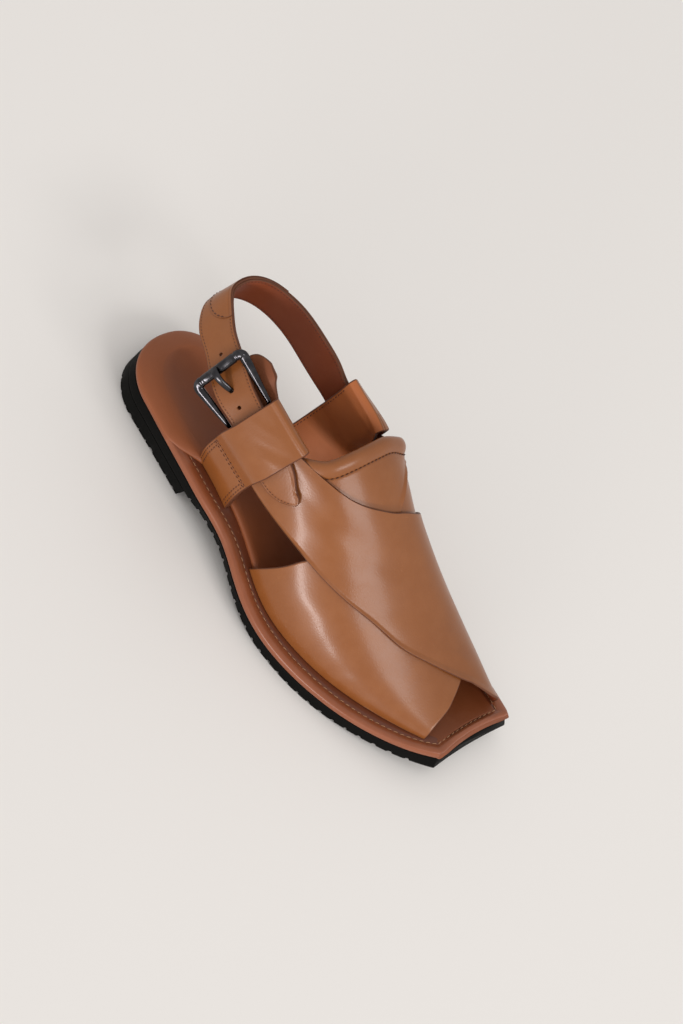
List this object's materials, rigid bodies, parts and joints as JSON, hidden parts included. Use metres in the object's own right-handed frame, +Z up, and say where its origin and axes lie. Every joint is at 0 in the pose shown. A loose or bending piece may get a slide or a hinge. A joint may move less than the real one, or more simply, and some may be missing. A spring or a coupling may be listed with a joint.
{
  "type": "peshawari chappal",
  "caption": "Right leather chappal: crossed bands open at toe and side, folded side loops, a buckled heel strap, a stitched margin and a black rubber sole with a low heel.",
  "frame": {"origin": "centre of the shoe's box at floor level, under the arch", "axes": "+X to the toe, +Y to the wearer's left, which is the inner side of this right shoe, +Z up; the outer side with the buckle faces -Y"},
  "size_m": [0.291, 0.1098, 0.0975],
  "materials": {
    "rubber": "matte black, moulded",
    "wrapped_edge": "reddish brown, smooth, lightly waxed",
    "insole_leather": "dark brown, smooth, soft sheen",
    "tan_leather": "tan, fine grain, polished sheen",
    "gunmetal": "dark gunmetal plating, polished"
  },
  "bodies": {
    "root": {"outsole": "rubber", "heel": "rubber", "midsole": "wrapped_edge", "insole": "insole_leather", "upper": "tan_leather", "side_loop_outer": "tan_leather", "side_loop_inner": "tan_leather", "back_strap": "tan_leather", "buckle_shield": "insole_leather", "buckle_frame": "gunmetal", "buckle_prong": "gunmetal"}
  },
  "joints": []
}
